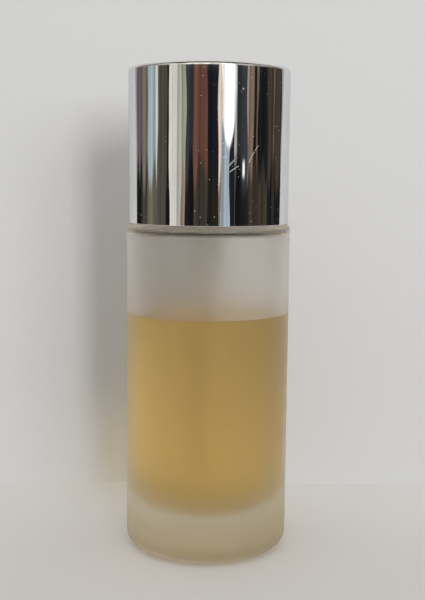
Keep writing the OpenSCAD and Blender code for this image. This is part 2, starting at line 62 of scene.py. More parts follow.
# Sizes in mm, from the CAD nodes where their boxes give them
GLASS_R, FOOT_Z, MOUTH_Z = box_mm("bottle")
LIQUID_R, FLOOR_Z, LEVEL_Z = box_mm("fragrance")
COLLAR_R, COLLAR_FOOT, COLLAR_TOP = box_mm("collar_shell")
CAP_R, CAP_FOOT, CAP_TOP = box_mm("cap_shell")
RETURN_R, RETURN_FOOT, RETURN_TOP = box_mm("return_spring")
PISTON_COIL_R, PISTON_COIL_FOOT, PISTON_COIL_TOP = box_mm("piston_spring")

HEEL_EDGE = 4.0
SHOULDER_Z, SHOULDER_EDGE = 96.0, 1.4
PUNT_R, PUNT_RISE, PUNT_LIP, PUNT_EDGE = 15.0, 1.2, 14.4, 0.4
CAVITY_R, CAVITY_TOP = 21.2, 94.4
CAVITY_TOP_EDGE, CAVITY_FOOT_EDGE = 1.8, 13.0
NECK_R, NECK_ROOT, BORE_R, BORE_EDGE = 6.4, 0.8, 4.7, 0.3
BEAD_R, BEAD_FOOT, BEAD_EDGE, BEAD_ROOT = 7.5, 100.4, 0.5, 0.2
MOUTH_R, MOUTH_EDGE = 6.0, 0.4
WETTED = 0.06
MENISCUS_RISE, MENISCUS_REACH, MENISCUS_FADE = 0.5, 1.6, 0.45
RETURN_WIRE, RETURN_TURNS, PRESS_TRAVEL = 0.25, 7, 4.2
PISTON_WIRE, PISTON_TURNS, LAG_TRAVEL = 0.175, 3, 0.5
COLLAR_WALL, COLLAR_EDGE, COLLAR_LIP_R, COLLAR_LIP = 0.4, 0.6, 7.1, 1.4
CAP_WALL, CAP_TOP_EDGE, CAP_RIM_EDGE, CAP_INNER_EDGE = 1.0, 0.9, 0.15, 0.6


# Turned forms


def rounded(corners, steps=10, hold=0.12):
    """Profile points of a turned form, in mm, from corners (radius, height, edge radius).

    Straight runs get a point just past each edge arc, so that their shading stays flat."""
    points = []
    for i, (r, z, edge) in enumerate(corners):
        here = Vector((r, z))
        if edge <= 0 or i in (0, len(corners) - 1):
            points.append(here)
            continue
        to_last = Vector(corners[i - 1][:2]) - here
        to_next = Vector(corners[i + 1][:2]) - here
        u, v = to_last.normalized(), to_next.normalized()
        angle = u.angle(v)
        reach = edge / math.tan(angle / 2)
        centre = here + (u + v).normalized() * edge / math.sin(angle / 2)
        first, last = here + u * reach, here + v * reach
        if to_last.length - reach > 4 * hold:
            points.append(first + u * hold)
        start, sweep = first - centre, math.pi - angle
        turn = 1 if start.x * (last - centre).y - start.y * (last - centre).x > 0 else -1
        for k in range(steps + 1):
            points.append(centre + Matrix.Rotation(turn * sweep * k / steps, 2) @ start)
        if to_next.length - reach > 4 * hold:
            points.append(last + v * hold)
    return [(p.x, p.y) for p in points]


def mesh_object(name, bm, sharp):
    """Object from a finished bmesh, with outward faces and edges sharp above an angle in degrees."""
    bmesh.ops.recalc_face_normals(bm, faces=bm.faces)
    mesh = bpy.data.meshes.new(name)
    bm.to_mesh(mesh)
    bm.free()
    mesh.set_sharp_from_angle(angle=math.radians(sharp))
    obj = bpy.data.objects.new(name, mesh)
    scene.collection.objects.link(obj)
    return obj


def turned(name, profile, segments=TURNED_SEGMENTS, closed=False, sharp=40, slot_of=None):
    """Mesh object turned from a profile of (radius, height) in mm; points on the axis become poles.

    slot_of gives the material slot of the face band that starts at a profile point."""
    bm = bmesh.new()
    rings = []
    for r, z in profile:
        if r < 1e-6:
            rings.append([bm.verts.new((0, 0, z * MM))])
        else:
            rings.append([
                bm.verts.new((r * MM * math.cos(a), r * MM * math.sin(a), z * MM))
                for a in (2 * math.pi * k / segments for k in range(segments))
            ])
    count = len(rings) if closed else len(rings) - 1
    for i in range(count):
        a, b = rings[i], rings[(i + 1) % len(rings)]
        if len(a) == 1 and len(b) == 1:
            continue
        for k in range(segments):
            n = (k + 1) % segments
            corners = [a[k % len(a)], a[n % len(a)], b[n % len(b)], b[k % len(b)]]
            face = bm.faces.new(list(dict.fromkeys(corners)))
            face.smooth = True
            face.material_index = slot_of(i) if slot_of else 0
    return mesh_object(name, bm, sharp)


def wound_wire(name, coil_r, wire_r, z_lo, z_hi, turns, dead=0.75, per_turn=40, sides=12):
    """Compression spring between two levels, in mm, with closed end coils."""
    count = turns * per_turn
    lift = []
    for i in range(count + 1):
        t = i / per_turn
        open_share = min(1, t / dead, (turns - t) / dead)
        lift.append(open_share * open_share * (3 - 2 * open_share))
    total, level, levels = sum(lift[1:]), 0.0, [0.0]
    closed_rise = 1.8 * wire_r / per_turn
    for share in lift[1:]:
        level += closed_rise + share * (z_hi - z_lo - 2 * wire_r - closed_rise * count) / total
        levels.append(level)
    bm = bmesh.new()
    rings = []
    for i, level in enumerate(levels):
        a = 2 * math.pi * i / per_turn
        out = Vector((math.cos(a), math.sin(a), 0))
        centre = out * coil_r + Vector((0, 0, z_lo + wire_r + level))
        rings.append([
            bm.verts.new((centre + wire_r * (math.cos(b) * out + math.sin(b) * Vector((0, 0, 1)))) * MM)
            for b in (2 * math.pi * j / sides for j in range(sides))
        ])
    for a, b in zip(rings, rings[1:]):
        for j in range(sides):
            n = (j + 1) % sides
            bm.faces.new((a[j], b[j], b[n], a[n])).smooth = True
    bm.faces.new(rings[0])
    bm.faces.new(rings[-1])
    return mesh_object(name, bm, 50)


# Surface effects, each a node group used by several finishes


def group(name, inputs, outputs):
    """Empty shader node group with float inputs (name, default) and outputs (name, kind)."""
    tree = bpy.data.node_groups.new(name, "ShaderNodeTree")
    for label, default in inputs:
        socket = tree.interface.new_socket(label, in_out="INPUT", socket_type="NodeSocketFloat")
        socket.default_value = default
    for label, kind in outputs:
        tree.interface.new_socket(label, in_out="OUTPUT", socket_type=kind)
    return tree, tree.nodes.new("NodeGroupInput"), tree.nodes.new("NodeGroupOutput")


def node(tree, kind, values=None, links=None, **settings):
    """Node with its settings, its sockets' values and the links into it."""
    made = tree.nodes.new(kind)
    for key, value in settings.items():
        setattr(made, key, value)
    for key, value in (values or {}).items():
        made.inputs[key].default_value = value
    for key, source in (links or {}).items():
        tree.links.new(source, made.inputs[key])
    return made


def math_node(tree, operation, a, b=None):
    """Math node on sockets or numbers."""
    made = tree.nodes.new("ShaderNodeMath")
    made.operation = operation
    for i, value in enumerate((a, b)):
        if value is None:
            continue
        if isinstance(value, (int, float)):
            made.inputs[i].default_value = value
        else:
            tree.links.new(value, made.inputs[i])
    return made.outputs[0]


def span(tree, value, low, high, to_low=0.0, to_high=1.0, smooth=True):
    """Map Range of a socket, from low..high to to_low..to_high."""
    made = node(tree, "ShaderNodeMapRange",
                {"From Min": low, "From Max": high, "To Min": to_low, "To Max": to_high},
                {"Value": value}, interpolation_type="SMOOTHSTEP" if smooth else "LINEAR")
    return made.outputs["Result"]


def object_space(tree, scale=(1, 1, 1)):
    """The piece's own coordinates in metres, stretched."""
    place = tree.nodes.new("ShaderNodeTexCoord")
    return node(tree, "ShaderNodeMapping", {"Scale": scale}, {"Vector": place.outputs["Object"]}).outputs[0]


def apart(tree, vector):
    """X, Y and Z sockets of a vector socket."""
    return node(tree, "ShaderNodeSeparateXYZ", links={0: vector}).outputs


def noise(tree, scale, stretch=(1, 1, 1), detail=1.0):
    """Noise value over the piece's own coordinates."""
    made = node(tree, "ShaderNodeTexNoise", {"Scale": scale, "Detail": detail},
                {"Vector": object_space(tree, stretch)})
    return made.outputs["Fac"]


def hairline_scratches():
    """Thin straight wipes at several angles, few and faint."""
    tree, inside, out = group("hairline_scratches", [("Scale", 900.0), ("Amount", 0.5)],
                              [("Mask", "NodeSocketFloat"), ("Height", "NodeSocketFloat")])
    total = None
    for turn, stretch in ((0.5, 0.02), (-0.9, 0.03), (1.35, 0.015)):
        place = tree.nodes.new("ShaderNodeTexCoord")
        tilted = node(tree, "ShaderNodeVectorRotate", {"Angle": turn, "Axis": (0.2, 1.0, 0.3)},
                      {"Vector": place.outputs["Object"]}, rotation_type="AXIS_ANGLE")
        long = node(tree, "ShaderNodeMapping", {"Scale": (1, stretch, stretch * 2)},
                    {"Vector": tilted.outputs[0]})
        grain = node(tree, "ShaderNodeTexNoise", {"Detail": 2.0, "Roughness": 0.6},
                     {"Vector": long.outputs[0], "Scale": inside.outputs["Scale"]})
        line = span(tree, grain.outputs["Fac"], 0.70, 0.74)
        total = line if total is None else math_node(tree, "MAXIMUM", total, line)
    share = span(tree, noise(tree, 60.0), 0.45, 0.7)
    mask = math_node(tree, "MULTIPLY", math_node(tree, "MULTIPLY", total, share), inside.outputs["Amount"])
    tree.links.new(mask, out.inputs["Mask"])
    tree.links.new(math_node(tree, "MULTIPLY", mask, -1.0), out.inputs["Height"])
    return tree


def pits_and_specks():
    """Scattered small round pits, each of its own size."""
    tree, inside, out = group("pits_and_specks", [("Scale", 400.0), ("Share", 0.15), ("Size", 0.12)],
                              [("Mask", "NodeSocketFloat"), ("Height", "NodeSocketFloat")])
    cells = node(tree, "ShaderNodeTexVoronoi", {"Randomness": 1.0},
                 {"Vector": object_space(tree), "Scale": inside.outputs["Scale"]})
    pick = tree.nodes.new("ShaderNodeSeparateColor")
    tree.links.new(cells.outputs["Color"], pick.inputs[0])
    chosen = math_node(tree, "LESS_THAN", pick.outputs[0], inside.outputs["Share"])
    size = math_node(tree, "MULTIPLY", inside.outputs["Size"],
                     math_node(tree, "ADD", math_node(tree, "MULTIPLY", pick.outputs[1], 0.8), 0.4))
    near = math_node(tree, "DIVIDE", cells.outputs["Distance"], size)
    mask = math_node(tree, "MULTIPLY", span(tree, near, 1.0, 0.4), chosen)
    tree.links.new(mask, out.inputs["Mask"])
    tree.links.new(math_node(tree, "MULTIPLY", mask, -1.0), out.inputs["Height"])
    return tree


def handling_film():
    """Soft uneven film left by hands and wiping."""
    tree, inside, out = group("handling_film", [("Scale", 45.0), ("Amount", 1.0)],
                              [("Mask", "NodeSocketFloat")])
    broad = node(tree, "ShaderNodeTexNoise", {"Detail": 4.0, "Roughness": 0.55, "Distortion": 0.6},
                 {"Vector": object_space(tree, (1, 1, 0.6)), "Scale": inside.outputs["Scale"]})
    mask = math_node(tree, "MULTIPLY", span(tree, broad.outputs["Fac"], 0.4, 0.75), inside.outputs["Amount"])
    tree.links.new(mask, out.inputs["Mask"])
    return tree


def fine_grain():
    """Even fine grain of an etched, cast or moulded face."""
    tree, inside, out = group("fine_grain", [("Scale", 3000.0), ("Depth", 1.0)],
                              [("Value", "NodeSocketFloat"), ("Height", "NodeSocketFloat")])
    grain = node(tree, "ShaderNodeTexNoise", {"Detail": 3.0, "Roughness": 0.7},
                 {"Vector": object_space(tree), "Scale": inside.outputs["Scale"]}).outputs["Fac"]
    tree.links.new(grain, out.inputs["Value"])
    tree.links.new(math_node(tree, "MULTIPLY", grain, inside.outputs["Depth"]), out.inputs["Height"])
    return tree


EFFECTS = {
    "scratches": hairline_scratches(),
    "pits": pits_and_specks(),
    "film": handling_film(),
    "grain": fine_grain(),
}


def effect(tree, name, **values):
    """One of the surface effects placed in a finish."""
    made = tree.nodes.new("ShaderNodeGroup")
    made.node_tree = EFFECTS[name]
    for key, value in values.items():
        made.inputs[key].default_value = value
    return made.outputs


def bare_material(name):
    """New material with nothing but its output node."""
    material = bpy.data.materials.new(name)
    material.use_nodes = True
    tree = material.node_tree
    tree.nodes.clear()
    return material, tree, tree.nodes.new("ShaderNodeOutputMaterial")


def finish(name):
    """New material with its Principled shader."""
    material, tree, output = bare_material(name)
    shader = tree.nodes.new("ShaderNodeBsdfPrincipled")
    tree.links.new(shader.outputs[0], output.inputs["Surface"])
    return material, tree, shader, output


def mix_colour(tree, share, one, two, blend="MIX"):
    """Colour between two colours or sockets, by a share socket or number."""
    made = node(tree, "ShaderNodeMix", data_type="RGBA", blend_type=blend)
    for slot, value in ((0, share), (6, one), (7, two)):
        if isinstance(value, tuple):
            made.inputs[slot].default_value = (*value, 1)
        elif isinstance(value, float):
            made.inputs[slot].default_value = value
        else:
            tree.links.new(value, made.inputs[slot])
    return made.outputs[2]


def weighted(tree, base, *terms):
    """Number plus sockets, each times its weight."""
    total = base
    for socket, weight in terms:
        total = math_node(tree, "ADD", math_node(tree, "MULTIPLY", socket, weight), total)
    return total


def bump(tree, height, depth, strength=1.0):
    """Bump node over a height socket; depth is in metres."""
    made = node(tree, "ShaderNodeBump", {"Strength": strength, "Distance": depth}, {"Height": height})
    return made.outputs[0]


def mix_shaders(tree, output, share, one, two):
    """Surface between two shaders, by a share socket."""
    both = tree.nodes.new("ShaderNodeMixShader")
    for slot, source in enumerate((share, one.outputs[0], two.outputs[0])):
        tree.links.new(source, both.inputs[slot])
    tree.links.new(both.outputs[0], output.inputs["Surface"])


def let_lamps_through(tree, shader, output, share):
    """Passes a share of the lamps' light straight on, so that clear pieces throw a light, tinted shadow."""
    path = tree.nodes.new("ShaderNodeLightPath")
    shadow = math_node(tree, "MULTIPLY", path.outputs["Is Shadow Ray"], share)
    mix_shaders(tree, output, shadow, shader, tree.nodes.new("ShaderNodeBsdfTransparent"))


# Finishes

GLASS_INDEX, LIQUID_INDEX, NO_BEND = 1.5, 1.36, 1.0001
AMBER, AMBER_DENSITY = (0.99, 0.81, 0.06, 1), 48.0
DUST_TONE, METAL_EDGE_TINT = (0.75, 0.72, 0.66), (0.83, 0.84, 0.86, 1)


def mirror_metal(name, tint, wave, worn, marks=()):
    """Polished bright metal with a faint drawn-in wave, wipe marks, pits and single long scratches.

    Each mark is a scratch on the front between two points (x, z) in mm."""
    material, tree, shader, _ = finish(name)
    scratches = effect(tree, "scratches", Scale=900.0, Amount=worn)
    pits = effect(tree, "pits", Scale=330.0, Share=0.16 * worn, Size=0.10)
    dust = effect(tree, "pits", Scale=650.0, Share=0.9 * worn, Size=0.075)["Mask"]
    film = effect(tree, "film", Scale=45.0, Amount=worn)
    tone = mix_colour(tree, film["Mask"], tint, tuple(c * 0.9 for c in tint))
    rough = weighted(tree, 0.02, (film["Mask"], 0.035), (scratches["Mask"], 0.25), (pits["Mask"], 0.4))
    swell = noise(tree, 70.0, (1, 1, 0.25))
    height = math_node(tree, "MULTIPLY", swell, wave)
    height = weighted(tree, height, (scratches["Height"], 0.15), (pits["Height"], 0.6))
    matt = dust
    for start, end in marks:
        line = long_scratch(tree, start, end)
        matt = math_node(tree, "MAXIMUM", matt, math_node(tree, "MULTIPLY", line, 0.7))
        height = weighted(tree, height, (line, -0.9))
    tree.links.new(mix_colour(tree, matt, tone, DUST_TONE), shader.inputs["Base Color"])
    tree.links.new(weighted(tree, rough, (matt, 0.5)), shader.inputs["Roughness"])
    tree.links.new(math_node(tree, "SUBTRACT", 1.0, matt), shader.inputs["Metallic"])
    shader.inputs["Specular Tint"].default_value = METAL_EDGE_TINT
    tree.links.new(bump(tree, height, 0.00002), shader.inputs["Normal"])
    return material


def long_scratch(tree, start, end, width=0.06):
    """Mask of one slightly bowed scratch on the front, between two points (x, z) in mm."""
    a, b = Vector(start) * MM, Vector(end) * MM
    along = (b - a).normalized()
    x, y, z = apart(tree, object_space(tree))
    right, up = math_node(tree, "SUBTRACT", x, a.x), math_node(tree, "SUBTRACT", z, a.y)
    run = weighted(tree, math_node(tree, "MULTIPLY", right, along.x), (up, along.y))
    off = weighted(tree, math_node(tree, "MULTIPLY", right, -along.y), (up, along.x))
    reach = (b - a).length
    arc = math_node(tree, "SINE", math_node(tree, "MULTIPLY", run, math.pi / reach))
    bow = math_node(tree, "MULTIPLY", arc, -0.02 * reach)
    off = math_node(tree, "ABSOLUTE", math_node(tree, "ADD", off, bow))
    line = math_node(tree, "MULTIPLY", span(tree, off, width * MM, 0.3 * width * MM),
                     span(tree, run, 0.0, 0.06 * reach))
    line = math_node(tree, "MULTIPLY", line, span(tree, run, reach, 0.9 * reach))
    line = math_node(tree, "MULTIPLY", line, math_node(tree, "LESS_THAN", y, 0.0))
    return math_node(tree, "MULTIPLY", line, span(tree, noise(tree, 500.0), 0.3, 0.5, 0.3, 1.0))


# Zones of the frost by height, in mm, from no effect to full effect. The heel zone only paints shade; the
# foot and roll zones also paint light into the tint.
ROLL_ETCH_AND_HIGHLIGHT_ZONE = SHOULDER_Z - 1.15, SHOULDER_Z - 0.95
FINE_ZONE = SHOULDER_Z - 3.6, SHOULDER_Z - 2.4
FOOT_ETCH_AND_AMBER_LIGHT_ZONE = FLOOR_Z + 16, FLOOR_Z - 2
HEEL_SHADE_ZONE = HEEL_EDGE + 3, FOOT_Z + 1
LAMP_ZONE, LAMP_SHARE = (LEVEL_Z - 4, LEVEL_Z / 2), 0.87
FROST_TONE, FROST_FILM_TONE = (0.905, 0.893, 0.872), (0.895, 0.88, 0.855)
# Painted light in the tint: amber light from the liquid in the foot, shade at the heel, a highlight on the
# roll
FOOT_PAINTED_AMBER_LIGHT, HEEL_PAINTED_SHADE, ROLL_PAINTED_HIGHLIGHT = (0.80, 0.775, 0.685), (0.56, 0.53, 0.43), (1.0, 0.99, 0.97)


def frosted_glass():
    """Acid-etched outside of the glass: heavier at the foot and on the shoulder's roll, finer below it. Its
    tint is painted light: amber light in the foot, shade at the heel and a highlight on the roll.
    """
    material, tree, shader, output = finish("frosted_glass")
    grain = effect(tree, "grain", Scale=2600.0, Depth=1.0)
    film = effect(tree, "film", Scale=38.0, Amount=1.0)
    z = apart(tree, object_space(tree))[2]
    roll, fine, foot, heel_shade = (span(tree, z, low * MM, high * MM)
                              for low, high in (ROLL_ETCH_AND_HIGHLIGHT_ZONE, FINE_ZONE, FOOT_ETCH_AND_AMBER_LIGHT_ZONE, HEEL_SHADE_ZONE))
    tone = mix_colour(tree, film["Mask"], FROST_TONE, FROST_FILM_TONE)
    # Painted light: amber light in the foot, shade towards the heel, a highlight on the roll
    for share, tint in ((foot, FOOT_PAINTED_AMBER_LIGHT), (heel_shade, HEEL_PAINTED_SHADE), (roll, ROLL_PAINTED_HIGHLIGHT)):
        tone = mix_colour(tree, share, tone, tint)
    tree.links.new(tone, shader.inputs["Base Color"])
    rough = weighted(tree, 0.28, (grain["Value"], 0.1), (foot, 0.2), (fine, -0.13), (roll, 0.33))
    tree.links.new(rough, shader.inputs["Roughness"])
    lamps = span(tree, z, LAMP_ZONE[0] * MM, LAMP_ZONE[1] * MM, 0.0, LAMP_SHARE, smooth=False)
    let_lamps_through(tree, shader, output, lamps)
    tree.links.new(bump(tree, grain["Height"], 0.00001, 0.4), shader.inputs["Normal"])
    shader.inputs["IOR"].default_value = GLASS_INDEX
    shader.inputs["Transmission Weight"].default_value = 1.0
    return material


def clear_glass(name, index):
    """Fire-polished inside of the glass, with the refractive index against what it touches."""
    material, tree, shader, output = finish(name)
    film = effect(tree, "film", Scale=60.0, Amount=1.0)
    tree.links.new(mix_colour(tree, film["Mask"], (0.999, 0.999, 0.998), (0.996, 0.996, 0.993)),
                   shader.inputs["Base Color"])
    tree.links.new(math_node(tree, "MULTIPLY", film["Mask"], 0.05), shader.inputs["Roughness"])
    shader.inputs["IOR"].default_value = index
    shader.inputs["Transmission Weight"].default_value = 1.0
    let_lamps_through(tree, shader, output, 1.0)
    return material


def amber_liquid(name, index):
    """Clear amber fragrance, coloured by its depth."""
    material, tree, shader, output = finish(name)
    film = effect(tree, "film", Scale=30.0, Amount=1.0)
    tree.links.new(mix_colour(tree, film["Mask"], (1.0, 1.0, 1.0), (0.998, 0.997, 0.994)),
                   shader.inputs["Base Color"])
    shader.inputs["Roughness"].default_value = 0.0
    shader.inputs["IOR"].default_value = index
    shader.inputs["Transmission Weight"].default_value = 1.0
    depth = node(tree, "ShaderNodeVolumeAbsorption", {"Color": AMBER, "Density": AMBER_DENSITY})
    tree.links.new(depth.outputs[0], output.inputs["Volume"])
    let_lamps_through(tree, shader, output, 1.0)
    return material


def moulding(name, colour, shade, rough):
    """Injection moulding with a fine eroded grain and a little grime."""
    material, tree, shader, _ = finish(name)
    grain = effect(tree, "grain", Scale=4200.0, Depth=1.0)
    film = effect(tree, "film", Scale=160.0, Amount=1.0)
    tree.links.new(mix_colour(tree, film["Mask"], colour, shade), shader.inputs["Base Color"])
    tree.links.new(weighted(tree, rough, (grain["Value"], 0.15)), shader.inputs["Roughness"])
    tree.links.new(bump(tree, grain["Height"], 0.000015, 0.5), shader.inputs["Normal"])
    return material


def clear_tube():
    """Extruded polyethylene tube, milky and translucent."""
    material, tree, shader, _ = finish("clear_tube")
    grain = effect(tree, "grain", Scale=2500.0, Depth=1.0)
    film = effect(tree, "film", Scale=200.0, Amount=1.0)
    tree.links.new(mix_colour(tree, film["Mask"], (0.93, 0.93, 0.90), (0.88, 0.88, 0.84)),
                   shader.inputs["Base Color"])
    tree.links.new(weighted(tree, 0.25, (grain["Value"], 0.15)), shader.inputs["Roughness"])
    shader.inputs["IOR"].default_value = 1.4
    shader.inputs["Transmission Weight"].default_value = 0.7
    return material


def satin_metal(name, colour, rough):
    """Pressed or drawn metal with the marks of its tool."""
    material, tree, shader, _ = finish(name)
    grain = effect(tree, "grain", Scale=3000.0, Depth=1.0)
    scratches = effect(tree, "scratches", Scale=1500.0, Amount=0.8)
    film = effect(tree, "film", Scale=120.0, Amount=1.0)
    tree.links.new(mix_colour(tree, film["Mask"], colour, tuple(c * 0.86 for c in colour)),
                   shader.inputs["Base Color"])
    tree.links.new(weighted(tree, rough, (grain["Value"], 0.1), (scratches["Mask"], 0.2)),
                   shader.inputs["Roughness"])
    shader.inputs["Metallic"].default_value = 1.0
    tree.links.new(bump(tree, scratches["Height"], 0.00001, 0.5), shader.inputs["Normal"])
    return material


# Long scratches on the cap's front, from and to (x, z) in mm
CAP_MARKS = (
    ((5.6, 110.9), (8.2, 112.6)),
    ((10.8, 113.4), (13.6, 118.4)),
    ((3.9, 114.8), (5.0, 115.2)),
)

FROSTED_GLASS = frosted_glass()
CLEAR_GLASS = clear_glass("clear_glass", GLASS_INDEX)
WETTED_GLASS = clear_glass("wetted_glass", GLASS_INDEX / LIQUID_INDEX)
AMBER_LEVEL = amber_liquid("amber_level", LIQUID_INDEX)
AMBER_SIDE = amber_liquid("amber_side", NO_BEND)
CAP_METAL = mirror_metal("cap_metal", (0.88, 0.88, 0.885), 1.0, 1.0, CAP_MARKS)
PUMP_METAL = mirror_metal("pump_metal", (0.87, 0.87, 0.875), 0.4, 0.5)
FERRULE_METAL = satin_metal("ferrule_metal", (0.80, 0.80, 0.81), 0.25)
SPRING_STEEL = satin_metal("spring_steel", (0.62, 0.62, 0.64), 0.2)
WHITE_MOULDING = moulding("white_moulding", (0.80, 0.80, 0.77), (0.72, 0.72, 0.68), 0.35)
DARK_MOULDING = moulding("dark_moulding", (0.030, 0.030, 0.031), (0.042, 0.042, 0.042), 0.35)
SOFT_SEAL = moulding("soft_seal", (0.10, 0.10, 0.105), (0.07, 0.07, 0.072), 0.55)
CLEAR_TUBE = clear_tube()


def dress(obj, slot_name, *materials):
    """Gives a piece its finishes; slot_name is not used."""
    obj.data.materials.clear()
    for material in materials:
        obj.data.materials.append(material)
    return obj


# The glass and what is in it


def punt_height(r):
    """Height of the shallow dome under the foot at a radius, in mm."""
    dome = (PUNT_R ** 2 + PUNT_RISE ** 2) / (2 * PUNT_RISE)
    return FOOT_Z + PUNT_RISE - dome + math.sqrt(dome ** 2 - r ** 2)


def bottle_glass():
    """Thick-based round bottle: frosted outside to the mouth, clear inside."""
    rings = 12
    outside = [(PUNT_LIP * k / rings, punt_height(PUNT_LIP * k / rings)) for k in range(rings)]
    outside += rounded([
        (PUNT_LIP, punt_height(PUNT_LIP), 0), (PUNT_R, FOOT_Z, PUNT_EDGE), (GLASS_R, FOOT_Z, HEEL_EDGE),
        (GLASS_R, SHOULDER_Z, SHOULDER_EDGE), (NECK_R, SHOULDER_Z, NECK_ROOT), (NECK_R, BEAD_FOOT, BEAD_ROOT),
        (BEAD_R, BEAD_FOOT, BEAD_EDGE), (BEAD_R, MOUTH_Z, BEAD_EDGE), (MOUTH_R, MOUTH_Z, 0),
    ], steps=14)
    shore = LEVEL_Z + MENISCUS_RISE
    dry = rounded([
        (MOUTH_R, MOUTH_Z, 0), (BORE_R, MOUTH_Z, MOUTH_EDGE), (BORE_R, CAVITY_TOP, BORE_EDGE),
        (CAVITY_R, CAVITY_TOP, CAVITY_TOP_EDGE), (CAVITY_R, shore, 0),
    ], steps=24)
    wet = rounded([(CAVITY_R, shore, 0), (CAVITY_R, FLOOR_Z, CAVITY_FOOT_EDGE), (0.0, FLOOR_Z, 0)], steps=24)
    dry_from = len(outside) - 1
    wet_from = dry_from + len(dry) - 1
    glass = turned("bottle_glass", outside + dry[1:] + wet[1:],
                   slot_of=lambda i: (i >= dry_from) + (i >= wet_from))
    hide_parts("bottle")
    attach(glass, "bottle")
    return dress(glass, "frosted_glass", FROSTED_GLASS, CLEAR_GLASS, WETTED_GLASS)


def fragrance_liquid():
    """Liquid wetting the glass, with its edge drawn up at the wall."""
    wall, steps = CAVITY_R + WETTED, 10
    rim = []
    for k in range(steps + 1):
        inward = MENISCUS_REACH * k / steps
        rim.append((wall - inward, LEVEL_Z + MENISCUS_RISE * math.exp(-inward / MENISCUS_FADE)))
    floor = FLOOR_Z - WETTED
    profile = rounded([(0.0, floor, 0), (wall, floor, CAVITY_FOOT_EDGE), (*rim[0], 0)], steps=24)
    side = len(profile) - 1
    profile += rim[1:] + [(CAVITY_R / 2, LEVEL_Z), (0.0, LEVEL_Z)]
    liquid = turned("fragrance_liquid", profile, sharp=60, slot_of=lambda i: 0 if i >= side else 1)
    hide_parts("fragrance")
    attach(liquid, "bottle")
    return dress(liquid, "amber_liquid", AMBER_LEVEL, AMBER_SIDE)


# The pump


def pump_springs():
    """Return spring under the valve rod and the light spring above the piston."""
    main = wound_wire("return_spring_wire", RETURN_R - RETURN_WIRE, RETURN_WIRE,
                      RETURN_FOOT, RETURN_TOP, RETURN_TURNS)
    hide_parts("return_spring")
    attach(main, "bottle")
    dress(main, "spring_steel", SPRING_STEEL)
    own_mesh(main)
    light = wound_wire("piston_spring_wire", PISTON_COIL_R - PISTON_WIRE, PISTON_WIRE,
                       PISTON_COIL_FOOT, PISTON_COIL_TOP, PISTON_TURNS, dead=0.5)
    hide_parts("piston_spring")
    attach(light, "stem")
    dress(light, "spring_steel", SPRING_STEEL)
    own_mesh(light)


def collar_sleeve():
    """Bright collar over the crimp, with a turned-in lip round the actuator."""
    inner, roof = COLLAR_R - COLLAR_WALL, COLLAR_TOP - COLLAR_WALL
    lip_out, lip_foot, fold = COLLAR_LIP_R + COLLAR_WALL, COLLAR_TOP - COLLAR_LIP, COLLAR_WALL / 4
    sleeve = turned("collar_sleeve", rounded([
        (inner, COLLAR_FOOT, 0), (COLLAR_R, COLLAR_FOOT, fold), (COLLAR_R, COLLAR_TOP, COLLAR_EDGE),
        (COLLAR_LIP_R, COLLAR_TOP, 2 * fold), (COLLAR_LIP_R, lip_foot, fold), (lip_out, lip_foot, fold),
        (lip_out, roof, fold), (inner, roof, 2 * fold), (inner, COLLAR_FOOT, 0),
    ])[:-1], closed=True)
    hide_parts("collar_shell")
    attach(sleeve, "bottle")
    return dress(sleeve, "bright_metal", PUMP_METAL)


# The cap


def cap_mirror():
    """Drawn metal shell of the cap, with a rolled top edge and a crisp rim."""
    inner, roof = CAP_R - CAP_WALL, CAP_TOP - CAP_WALL
    shell = turned("cap_mirror", rounded([
        (0.0, CAP_TOP, 0), (CAP_R, CAP_TOP, CAP_TOP_EDGE), (CAP_R, CAP_FOOT, CAP_RIM_EDGE),
        (inner, CAP_FOOT, CAP_RIM_EDGE), (inner, roof, CAP_INNER_EDGE), (0.0, roof, 0),
    ], steps=14))
    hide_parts("cap_shell")
    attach(shell, "cap")
    return dress(shell, "bright_metal", CAP_METAL)


bottle_glass()
fragrance_liquid()
pump_springs()
collar_sleeve()
cap_mirror()

CAD_FINISHES = {
    "white_moulding": (WHITE_MOULDING, (
        "pump_housing", "valve_rod", "piston", "stem", "retainer", "collar_insert", "actuator_button",
        "spray_insert",
    )),
    "dark_moulding": (DARK_MOULDING, ("cap_liner",)),
    "bright_metal": (PUMP_METAL, ("actuator_shell",)),
    "ferrule_metal": (FERRULE_METAL, ("crimp_ferrule",)),
    "spring_steel": (SPRING_STEEL, ("inlet_ball",)),
    "clear_tube": (CLEAR_TUBE, ("dip_tube",)),
    "soft_seal": (SOFT_SEAL, ("neck_gasket", "stem_seal")),
}
for slot_name, (material, members) in CAD_FINISHES.items():
    for member in members:
        dress(nodes[member], slot_name, material)


# Stage: floor, board behind, studio cards that the bright metal mirrors, lamps and camera

BOARD_Y = 0.053
BOARD_HALF, BOARD_TOP, BOARD_CURL_Z, BOARD_CURL = 0.126, 0.30, 0.055, 2.2
FLOOR_HALF = 1.5
# Painted light: the floor grows lighter towards the board
FLOOR_TONE, FLOOR_PAINTED_LIGHT_TONE, BOARD_TONE = (0.665, 0.667, 0.672), (0.765, 0.767, 0.772), (0.603, 0.613, 0.625)
FLOOR_PAINTED_LIGHT_FROM = -0.06


